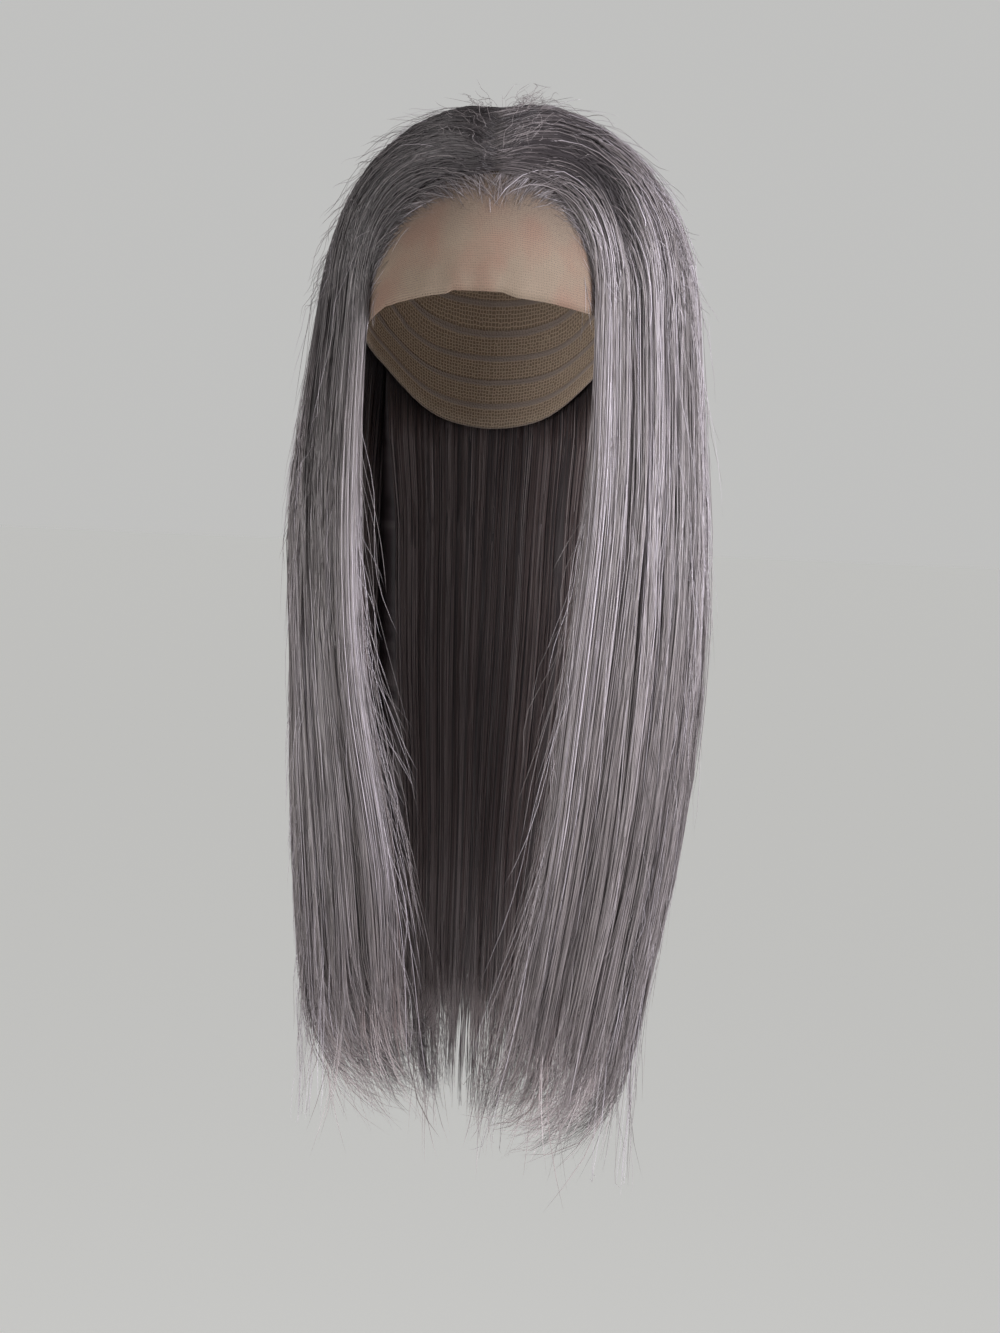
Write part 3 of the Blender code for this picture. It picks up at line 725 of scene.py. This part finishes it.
class Tresses:
    """Strands gathered in wide locks and in narrow wisps within them."""

    def __init__(self, rng, count, low, high, locks, per_wisp):
        self.rng = rng
        self.count = count
        self.locks = locks
        self.wisps = max(1, count // per_wisp)
        wisp_place = (np.arange(self.wisps) + rng.random(self.wisps)) / self.wisps
        lock_of_wisp = np.clip((wisp_place * locks).astype(int), 0, locks - 1)
        lock_place = (np.arange(locks) + 0.5 + 0.3 * (rng.random(locks) - 0.5)) / locks
        self.wisp = rng.integers(0, self.wisps, count)
        self.lock = lock_of_wisp[self.wisp]
        span = high - low
        self.lock_u = low + span * lock_place[self.lock]
        self.wisp_u = low + span * wisp_place[self.wisp] - self.lock_u
        self.own_u = span / self.wisps * rng.normal(0.0, 1.0, count)

    def by_lock(self, size):
        return (size * self.rng.normal(0.0, 1.0, self.locks))[self.lock]

    def by_wisp(self, size):
        return (size * self.rng.normal(0.0, 1.0, self.wisps))[self.wisp]

    def at_each(self, lock, wisp, own):
        return self.by_lock(lock) + self.by_wisp(wisp) + own * self.rng.normal(0.0, 1.0, self.count)

    def own(self, size):
        return size * self.rng.normal(0.0, 1.0, self.count)

    def own_turn(self):
        return column(6.28 * self.rng.random(self.count))

    def lock_turn(self):
        return column((6.28 * self.rng.random(self.locks))[self.lock])

    def wisp_turn(self):
        return column((6.28 * self.rng.random(self.wisps))[self.wisp])

    def tone(self, row):
        """Uneven between locks, wisps and strands, and more even towards the ends."""
        uneven = column(self.at_each(0.07, 0.11, 0.16))
        uneven = uneven + column(self.own(0.08)) * np.sin(self.own_turn() + 6.0 * row)
        return 0.50 + uneven * mix(1.0, 0.58, smooth((row - 0.9) / 0.7))

    def place(self, row):
        """u of every strand at its rows: locks and wisps draw together on the way down."""
        lock_width = mix(0.96, 0.80, smooth((row - 0.6) / 1.3))
        wisp_width = mix(0.66, 0.54, smooth((row - 0.5) / 1.2)) + 1.1 * smooth((row - 1.75) / 0.3)
        u = column(self.lock_u) + column(self.wisp_u) * lock_width + column(self.own_u) * wisp_width
        loose = 0.25 + 1.6 * smooth((row - 0.8) / 1.2)
        u = u + column(self.by_lock(0.0040)) * np.sin(self.lock_turn() + 2.6 * row) * loose
        u = u + column(self.by_wisp(0.0028)) * np.sin(self.wisp_turn() + 5.0 * row) * loose
        u = u + column(self.own(0.0040)) * np.sin(self.own_turn() + 4.3 * row) * loose
        return u + column(self.own(0.0014)) * np.sin(self.own_turn() + 13.0 * row) * smooth(row / 0.2)


def fountain(u, row):
    """Hair by the part starts nearer the hairline and sweeps back as it rises."""
    start = u * mix(0.25, 1.0, smooth(u / 0.80))
    return u - (u - start) * np.exp(-row / 0.13)


def bend(paths, inward, sideways):
    """Turns each strand's steps inwards and sideways by angles given at its points."""
    steps = np.diff(paths, axis=1)
    middle = 0.5 * (paths[:, 1:] + paths[:, :-1]) * np.array([1.0, 1.0, 0.0])
    towards = -unit(middle)
    around = np.stack([-towards[..., 1], towards[..., 0], 0.0 * towards[..., 0]], axis=-1)
    down = -steps[..., 2]
    across = (steps * towards).sum(axis=-1)
    beside = (steps * around).sum(axis=-1)
    a = 0.5 * (inward[:, 1:] + inward[:, :-1])
    b = 0.5 * (sideways[:, 1:] + sideways[:, :-1])
    across, down = across * np.cos(a) + down * np.sin(a), down * np.cos(a) - across * np.sin(a)
    beside, down = beside * np.cos(b) + down * np.sin(b), down * np.cos(b) - beside * np.sin(b)
    turned = towards * across[..., None] + around * beside[..., None]
    turned[..., 2] -= down
    return np.cumsum(np.concatenate([paths[:, :1], turned], axis=1), axis=1)


def curl_ends(tresses, paths, row, turned):
    """Ends that turn in under themselves, lock by lock, and some wisps that flick away."""
    begin = column(CURL_FROM + tresses.by_lock(0.020) + tresses.by_wisp(0.018))
    turn = np.clip((row - begin) / (CURL_TO - begin), 0.0, 1.0) ** 1.4
    most = np.radians(turned) + tresses.at_each(0.45, 0.24, 0.18)
    flick = (tresses.rng.random(tresses.wisps) < FLICK_SHARE)[tresses.wisp]
    most = np.where(flick, FLICK_TURN, most)
    aside = tresses.at_each(0.08, 0.12, 0.10)
    return bend(paths, column(most) * turn, column(aside) * turn)


def cross_part(rng, side, paths, row):
    """Roots by the part lie on both sides of its line."""
    off = rng.normal(0.0, 0.0046, len(paths)) - 0.0018
    paths[..., 0] += side * column(off) * np.exp(-row / 0.06)
    return paths


def painted_shade(side, u, row):
    """Painted shade taken off the hair's tone: darker towards the roots over the crown, more so on the
    left side, a little lower down on the right, and deepest in the hollow above the swept front lock.
    """
    if side < 0:
        return 0.66 * (1.0 - smooth((row - 0.70) / 0.75))
    hollow = np.exp(-(((row - 0.43) / 0.25) ** 2)) * np.exp(-(((u - HOLLOW_PLACE) / 0.050) ** 2))
    low = 0.14 * smooth((row - 1.25) / 0.4)
    return 0.36 * (1.0 - smooth((row - 0.20) / 0.50)) + 1.0 * hollow + low


def hanging_strands(side, rng, tresses, rows, deep, over):
    """Paths of strands that follow the fall of the hair from rows[0] to the ends."""
    count = tresses.count
    rows = np.asarray(rows)
    share = (rows - rows[0]) / (rows[-1] - rows[0])
    begin = rows[0] + (0.02 if over else 0.08) * rng.random(count)
    short = 0.58 * rng.random(tresses.wisps)[tresses.wisp] + 0.16 * rng.random(count)
    short = short * mix(1.0, 0.55, smooth((tresses.lock_u - 0.55) / 0.25))
    reach = np.minimum(rows[-1] + 0.01 - short + tresses.by_lock(0.015), 2.03)
    row = column(begin) + column(reach - begin) * share[None, :]
    u = tresses.place(row)
    if over:
        u = fountain(u, row)
    u = np.where(u < 0.0, -0.3 * u, u)
    u = np.where(u > 1.0, 2.0 - u, u)
    depth = 1.0 - deep * rng.random(tresses.wisps)[tresses.wisp] ** 1.3 + tresses.by_lock(0.05)
    w = column(depth) + column(tresses.at_each(0.0, 0.0, 0.05)) * mix(0.4, 1.0, smooth(row / 0.8))
    w = w + column(tresses.by_wisp(0.035)) * np.sin(tresses.wisp_turn() + 6.0 * row)
    w = w * mix(column(0.25 + 0.75 * rng.random(count)), 1.0, smooth(u / 0.05))
    paths = mass_points(side, u, row, np.clip(w, 0.02, 1.12))
    if over:
        paths = cross_part(rng, side, paths, row)
    paths = curl_ends(tresses, paths, row, CURL_TURNS[side])
    # The strands' tone comes back with the painted shade taken off.
    return paths, tresses.tone(row) - painted_shade(side, u, row)


def widths(rng, count, size):
    return size * (0.7 + 0.6 * rng.random(count))


def make_over_strands(material):
    for side in (LEFT, RIGHT):
        rng = np.random.default_rng(21 + side)
        tresses = Tresses(rng, OVER_COUNT, 0.0, 1.0, 26, 8)
        paths, tone = hanging_strands(side, rng, tresses, LONG_ROWS, 0.14, True)
        name = "strands_over_" + side_name(side)
        make_strands(name, paths, widths(rng, len(paths), OVER_WIDTH), tone, material)


def make_fall_strands(material):
    for side in (LEFT, RIGHT):
        for part, low, high, locks in FALL_PARTS:
            rng = np.random.default_rng(31 + side + int(10 * low))
            tresses = Tresses(rng, FALL_COUNT, low, high, locks, 8)
            paths, tone = hanging_strands(side, rng, tresses, FALL_ROWS, 0.85, False)
            name = f"strands_fall_{part}_{side_name(side)}"
            make_strands(name, paths, widths(rng, len(paths), FALL_WIDTH), tone, material, taper=0.32)


def across_hairline(side, root):
    """Places on the hairline, and the way back from the face across it."""
    edge = mass_points(side, 0.0 * root, root, 0.0 * root)
    return edge, unit(mass_points(side, 0.03 + 0.0 * root, root, 0.0 * root) - edge)


def make_hairline(material):
    """Strands rooted along the hairline, which rise off the lace and sweep into the flow."""
    for side in (LEFT, RIGHT):
        rng = np.random.default_rng(41 + side)
        count = HAIRLINE_COUNT
        root = rng.random(count) ** 1.55 * 0.98
        sweep = (0.38 * (1.0 - root) ** 3 + 0.035) * rng.random(count) ** 0.8
        t = np.linspace(0.0, 1.0, 12) ** 1.2
        reach = 0.55 + 0.75 * rng.random(count)
        ahead = column(np.minimum(reach, 1.80 - root)) * t[None, :]
        row = column(root) + ahead
        early = column(mix(0.05, 0.13, smooth(root / 0.3)))
        u = column(sweep) * (1.0 - np.exp(-ahead / early)) + column(0.012 * rng.random(count) ** 2)
        outer = column(smooth(root / 0.4))
        rise = smooth(ahead / mix(0.03, 0.12, outer) / (1.0 + 1.8 * column(rng.random(count))))
        w = (0.12 + 1.02 * column(rng.random(count) ** 0.6)) * rise - 0.3 * smooth((t - 0.8) / 0.2)
        paths = mass_points(side, np.maximum(u, 0.0), row, w)
        before = column(0.0095 * rng.random(count) ** 1.8) * np.exp(-ahead / 0.16)
        paths = paths - unit(paths[:, 2:3] - paths[:, :1]) * before[..., None]
        _, back = across_hairline(side, column(root))
        forward = column(0.0150 * rng.random(count) ** 0.8 * (1.0 - smooth(root / 0.45)))
        paths = paths - back * (forward * np.exp(-ahead / 0.20))[..., None]
        paths = mix(on_cap_form(paths, 0.0011), paths, smooth(ahead / 0.12)[..., None])
        paths = cross_part(rng, side, paths, row)
        # Painted shade is taken off the hairline strands' tone.
        tone = column(0.60 + rng.normal(0.0, 0.22, count)) - 0.8 * painted_shade(side, u, row)
        tone = tone + 0.30 * np.exp(-ahead / 0.15) * (1.0 - smooth(column(root) / 0.5))
        name = "strands_hairline_" + side_name(side)
        make_strands(name, paths, widths(rng, count, HAIRLINE_WIDTH), tone, material)


def make_baby_hairs(material):
    """Short fine hairs that lie on the lace just before the hairline."""
    rng = np.random.default_rng(45)
    groups = []
    t = np.linspace(0.0, 1.0, 7)[None, :]
    for side in (LEFT, RIGHT):
        count = BABY_COUNT
        root = column(rng.random(count) * 0.92)
        edge, back = across_hairline(side, root)
        outer = smooth(root / 0.25)
        later = mass_points(side, mix(0.10, 0.014, outer), root + mix(0.02, 0.10, outer), 0.0 * root)
        way = unit(unit(later - edge) + back * column(rng.normal(0.05, 0.22, count))[..., None])
        before = column(0.001 + 0.010 * rng.random(count) ** 2) + 0.010 * (1.0 - smooth(root / 0.35))
        length = column(0.008 + 0.022 * rng.random(count))
        aside = np.cross(way, unit(edge + np.array([0.0, 0.0, CAP_TALL])))
        paths = edge - back * before[..., None] + way * (length * t)[..., None]
        paths = paths + aside * (column(rng.normal(0.0, 0.2, count)) * length * t**2)[..., None]
        groups.append(on_cap_form(paths, (0.0011 + 0.0014 * t**2)[..., None]))
    paths = np.concatenate(groups)
    tone = column(0.45 + rng.normal(0.0, 0.28, len(paths)))
    make_strands("strands_baby", paths, widths(rng, len(paths), BABY_WIDTH), tone, material)


def make_inside_strands(material):
    """Strands on the inner face of the curtains and of the back."""
    rows = np.asarray(FALL_ROWS)
    for side in (LEFT, RIGHT):
        rng = np.random.default_rng(51 + side)
        count = INSIDE_COUNT
        tresses = Tresses(rng, count, 0.0, 1.0, 22, 8)
        reach = 0.66 + 0.32 * rng.random(count) ** 0.7
        row = column(1.0 + 0.10 * rng.random(count)) + column(reach) * (rows - 0.90) / 1.15
        u = np.clip(tresses.place(row), 0.0, 1.0)
        w = column(0.03 + 0.09 * rng.random(count)) + 0.0 * row
        paths = curl_ends(tresses, mass_points(side, u, row, w), row, INNER_TURN)
        # Painted light: the ends are lighter, as if lit through.
        tone = tresses.tone(row) + 0.30 * smooth((row - 1.5) / 0.4)
        name = "strands_inside_" + side_name(side)
        make_strands(name, paths, widths(rng, count, INNER_WIDTH), tone, material)


def make_nape_strands(material):
    rng = np.random.default_rng(61)
    count = NAPE_COUNT
    tresses = Tresses(rng, count, 0.0, 1.0, 14, 8)
    length = 0.74 + 0.25 * rng.random(tresses.wisps)[tresses.wisp] ** 0.8 + tresses.own(0.02)
    fall = column(length) * np.linspace(0.0, 1.0, 10)[None, :]
    u = np.clip(tresses.place(1.0 + fall), 0.0, 1.0)
    depth = column(0.02 + 0.9 * rng.random(count) ** 2) + 0.0 * fall
    paths = curl_ends(tresses, nape_points(u, fall, depth), 1.0 + fall, INNER_TURN)
    # Painted light: the ends are lighter, as if lit through.
    tone = tresses.tone(1.0 + fall) + 0.30 * smooth((fall - 0.55) / 0.4)
    make_strands("strands_nape", paths, widths(rng, count, INNER_WIDTH), tone, material)


def curled(rng, count, t, size, turns):
    """Offsets of a loose curl that opens from the root on, as count by steps by 3."""
    offsets = []
    for axis in range(3):
        turn = column(6.28 * rng.random(count)) + column(turns * (0.5 + rng.random(count))) * t
        offsets.append(column(size * rng.random(count)) * (np.sin(turn) - np.sin(turn[:, :1])))
    return np.stack(offsets, axis=-1)


def make_flyaways(material):
    """Loose single hairs that leave the outside, curly and thin."""
    t = np.linspace(0.0, 1.0, 10)[None, :]
    for side in (LEFT, RIGHT):
        rng = np.random.default_rng(71 + side)
        count = LOOSE_COUNT
        row = column(rng.random(count) ** 0.75 * 1.85) + column(0.06 + 0.24 * rng.random(count)) * t
        place = np.where(rng.random(count) < 0.55, 0.20 + 0.28 * rng.random(count), rng.random(count))
        u = np.clip(column(place) + column(rng.normal(0.0, 0.020, count)) * t, 0.0, 1.0)
        paths = mass_points(side, u, np.minimum(row, 1.99), 0.97 + 0.0 * row)
        off = column(0.003 + 0.010 * rng.random(count) ** 1.5) * t**1.2
        over = np.array([0.0, 0.0, 0.04]) * (row < 1.0)[..., None]
        paths = paths + unit(paths * np.array([1.0, 1.0, 0.4]) + over) * off[..., None]
        paths = paths + curled(rng, count, t, 0.0022, 7.0)
        # Half of the painted shade is taken off the loose hairs' tone.
        tone = column(0.72 + rng.normal(0.0, 0.2, count)) - 0.5 * painted_shade(side, u, row)
        name = "strands_loose_" + side_name(side)
        make_strands(name, paths, widths(rng, count, LOOSE_WIDTH), tone, material)


def make_edge_strays(material):
    """Hairs that leave the curtains' front edges and hang across the opening."""
    t = np.linspace(0.0, 1.0, 12)[None, :]
    for side in (LEFT, RIGHT):
        rng = np.random.default_rng(91 + side)
        count = EDGE_COUNT
        row = column(1.10 + 0.55 * rng.random(count)) + column(0.12 + 0.40 * rng.random(count)) * t
        u = column(0.03 * rng.random(count)) * (1.0 - t)
        depth = 0.4 + 0.5 * column(rng.random(count)) + 0.0 * row
        paths = mass_points(side, u, np.minimum(row, 1.99), depth)
        paths[..., 0] -= side * column(0.002 + 0.020 * rng.random(count) ** 2) * t**1.4
        paths = paths + curled(rng, count, t, 0.0040, 8.0)
        tone = column(0.50 + rng.normal(0.0, 0.22, count))
        name = "strands_edge_" + side_name(side)
        make_strands(name, paths, widths(rng, count, EDGE_WIDTH), tone, material)


def make_crown_strays(material):
    """A few curly hairs that stand up over the crown, most of them right of the part."""
    t = np.linspace(0.0, 1.0, 12)[None, :]
    groups = []
    for side, count in CROWN_COUNTS:
        rng = np.random.default_rng(81 + side)
        row = column(0.005 + 0.11 * rng.random(count)) + column(0.02 + 0.10 * rng.random(count)) * t
        u = column(0.5 * rng.random(count)) + 0.03 * t
        paths = mass_points(side, u, row, 0.9 + 0.0 * row) + curled(rng, count, t, 0.0030, 9.0)
        paths[..., 2] += column(0.003 + 0.013 * rng.random(count) ** 2) * t**0.8
        groups.append(paths)
    paths = np.concatenate(groups)
    make_strands("strands_crown", paths, np.full(len(paths), CROWN_WIDTH), 0.45, material)


# Cap and lace.

CAP_LIFT = 0.0002
CAP_THICK = 0.0009
CAP_FLOW = (0.52, 0.22)
LACE_LIFT = 0.0005
LACE_THICK = 0.0003
LACE_FLOW = (0.23, 0.085)
NAPE_ROUNDING = 9.0


def seam_latitude(azimuth):
    return curve(np.abs(azimuth), SEAM_AZIMUTH, SEAM_LATITUDE)


def cap_end(azimuth):
    """Latitude where the cap ends: at the lace's seam in front, at its rim elsewhere."""
    away = 180.0 - np.hypot(180.0 - np.abs(azimuth), NAPE_ROUNDING)
    rim = curve(away, RIM_AZIMUTH, RIM_LATITUDE)
    return np.where(np.abs(azimuth) <= LACE_REACH, seam_latitude(azimuth), rim)


def face_out(mesh):
    """Turns an open shell so that its faces look away from the middle of the cap's form."""
    inside = Vector((0.0, 0.0, -CAP_TALL))
    bmesh.ops.recalc_face_normals(mesh, faces=mesh.faces[:])
    mesh.normal_update()
    if sum((face.calc_center_median() - inside).dot(face.normal) for face in mesh.faces) < 0.0:
        bmesh.ops.reverse_faces(mesh, faces=mesh.faces[:])


def thicken(piece, thickness):
    solid = piece.modifiers.new("Thickness", "SOLIDIFY")
    solid.thickness = thickness
    solid.offset = 1.0


def make_cap(material):
    def points_of(x, y, _):
        azimuth = mix(-180.0, 180.0, x)
        return cap_points(azimuth, y * cap_end(azimuth), CAP_LIFT)

    mesh = grid_of(96, 32)
    mark_flow(mesh, CAP_FLOW)
    lay(mesh, points_of)
    bmesh.ops.remove_doubles(mesh, verts=mesh.verts[:], dist=1e-6)
    face_out(mesh)
    area = sum(face.calc_area() for face in mesh.faces)
    piece = add_piece("cap_net", mesh, material)
    thicken(piece, CAP_THICK)
    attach(piece, "root")
    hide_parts("wig_cap")


def make_lace(material):
    def points_of(x, y, _):
        azimuth = mix(-LACE_REACH, LACE_REACH, x)
        seam = seam_latitude(azimuth) + SEAM_GAP
        cut = np.interp(azimuth, CUT_AZIMUTH, CUT_LATITUDE)
        ripple = 0.0003 * np.sin(azimuth * 0.5 + 2.0) * smooth((y - 0.75) / 0.25)
        lift = LACE_LIFT + ripple + 0.0004 * smooth((y - 0.8) / 0.2)
        return cap_points(azimuth, mix(seam, cut, y), lift)

    mesh = grid_of(150, 24)
    mark_flow(mesh, LACE_FLOW)
    lay(mesh, points_of)
    face_out(mesh)
    area = sum(face.calc_area() for face in mesh.faces)
    piece = add_piece("lace_panel", mesh, material)
    thicken(piece, LACE_THICK)
    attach(piece, "root")
    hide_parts("lace_front")


# Room.

HORIZON = 0.53
HORIZON_BLUE = 0.985
OVERHEAD = 0.07
FLOOR_LEVEL = -2.0
FLOOR_SIZE = 60.0
FLOOR_PAINT = (0.62, 0.62, 0.605, 1.0)
FLOOR_GLOW = 0.675

# Each light's place, width and height, power and color. All of them face one place in the hair.
LIGHTS = {
    "window": ((1.40, -0.88, 0.12), (0.8, 0.9), 44.0, (0.97, 0.97, 1.0)),
    "fill": ((-1.3, -1.5, -0.35), (1.4, 1.2), 22.0, (1.0, 0.985, 0.965)),
    "rim": ((-0.7, 1.7, 0.15), (1.2, 1.2), 16.0, (0.98, 0.98, 1.0)),
}
LIT_PLACE = (0.0, 0.0, -0.28)

# The focal length is given in frame widths, the tilt in degrees.
CAMERA_PLACE = (0.0126, -1.15, -0.196)
CAMERA_TARGET = (0.0126, 0.0, -0.297)
CAMERA_TILT = 2.46
FOCAL_LENGTH = 2.053
SENSOR_WIDTH = 36.0


def make_floor():
    mesh = bmesh.new()
    bmesh.ops.create_grid(mesh, x_segments=4, y_segments=4, size=FLOOR_SIZE)
    bmesh.ops.translate(mesh, verts=mesh.verts, vec=(0.0, 0.0, FLOOR_LEVEL))
    constants = {"Roughness": 0.9, "Base Color": FLOOR_PAINT}
    constants["Emission Color"] = FLOOR_PAINT
    constants["Emission Strength"] = FLOOR_GLOW
    floor = add_piece("floor", mesh, Finish("floor_paint", constants).material)


def make_world():
    """Pale all round at eye level and dimmer overhead."""
    world = bpy.data.worlds.new("studio")
    bpy.context.scene.world = world
    world.use_nodes = True
    tree = world.node_tree
    place = tree.nodes.new("ShaderNodeTexCoord")
    apart = tree.nodes.new("ShaderNodeSeparateXYZ")
    ramp = tree.nodes.new("ShaderNodeValToRGB")
    tree.links.new(place.outputs["Generated"], apart.inputs[0])
    tree.links.new(apart.outputs[2], ramp.inputs[0])
    tree.links.new(ramp.outputs[0], tree.nodes["Background"].inputs["Color"])
    low, high = ramp.color_ramp.elements
    low.position = 0.24
    low.color = (HORIZON, HORIZON, HORIZON * HORIZON_BLUE, 1.0)
    high.position = 0.55
    high.color = (OVERHEAD, OVERHEAD, OVERHEAD, 1.0)
    bpy.context.scene.view_settings.view_transform = "Standard"


def add_light(name, place, size, power, color):
    lamp = bpy.data.lights.new(name, "AREA")
    lamp.shape = "RECTANGLE"
    lamp.size, lamp.size_y = size
    lamp.energy = power
    lamp.color = color
    light = bpy.data.objects.new(name, lamp)
    light.location = place
    light.rotation_euler = (Vector(LIT_PLACE) - Vector(place)).to_track_quat("-Z", "Y").to_euler()
    bpy.context.scene.collection.objects.link(light)


def make_camera():
    """Before the upper half of the hair, looking a little down and slightly tipped."""
    place = Vector(CAMERA_PLACE)
    look = (Vector(CAMERA_TARGET) - place).to_track_quat("-Z", "Y").to_matrix().to_4x4()
    tilt = Matrix.Rotation(np.radians(CAMERA_TILT), 4, "Z")
    camera = bpy.data.cameras.new("camera")
    camera.sensor_fit = "HORIZONTAL"
    camera.sensor_width = SENSOR_WIDTH
    camera.lens = FOCAL_LENGTH * SENSOR_WIDTH
    view = bpy.data.objects.new("camera", camera)
    view.matrix_world = Matrix.Translation(place) @ look @ tilt
    bpy.context.scene.collection.objects.link(view)
    bpy.context.scene.camera = view


def main():
    strands = strand_finish("hair_strands", STRAND_DARK, HAIR_MID, HAIR_LIGHT)
    # Painted shade: the strands inside get a darker, redder copy of the strands' finish.
    inner = strand_finish("hair_inner_shaded_strands", INNER_SHADED_DARK, INNER_SHADED_MID, INNER_SHADED_LIGHT)
    mass = mass_finish()
    for side in (LEFT, RIGHT):
        for place in SECTIONS:
            make_mass(place, side, mass)
    make_nape_mass(mass)
    make_over_strands(strands)
    make_fall_strands(strands)
    make_hairline(strands)
    make_baby_hairs(strands)
    make_inside_strands(inner)
    make_nape_strands(inner)
    make_flyaways(strands)
    make_edge_strays(strands)
    make_crown_strays(strands)
    make_cap(cap_finish())
    make_lace(lace_finish())
    make_floor()
    make_world()
    for name, (place, size, power, color) in LIGHTS.items():
        add_light(name, place, size, power, color)
    make_camera()


main()
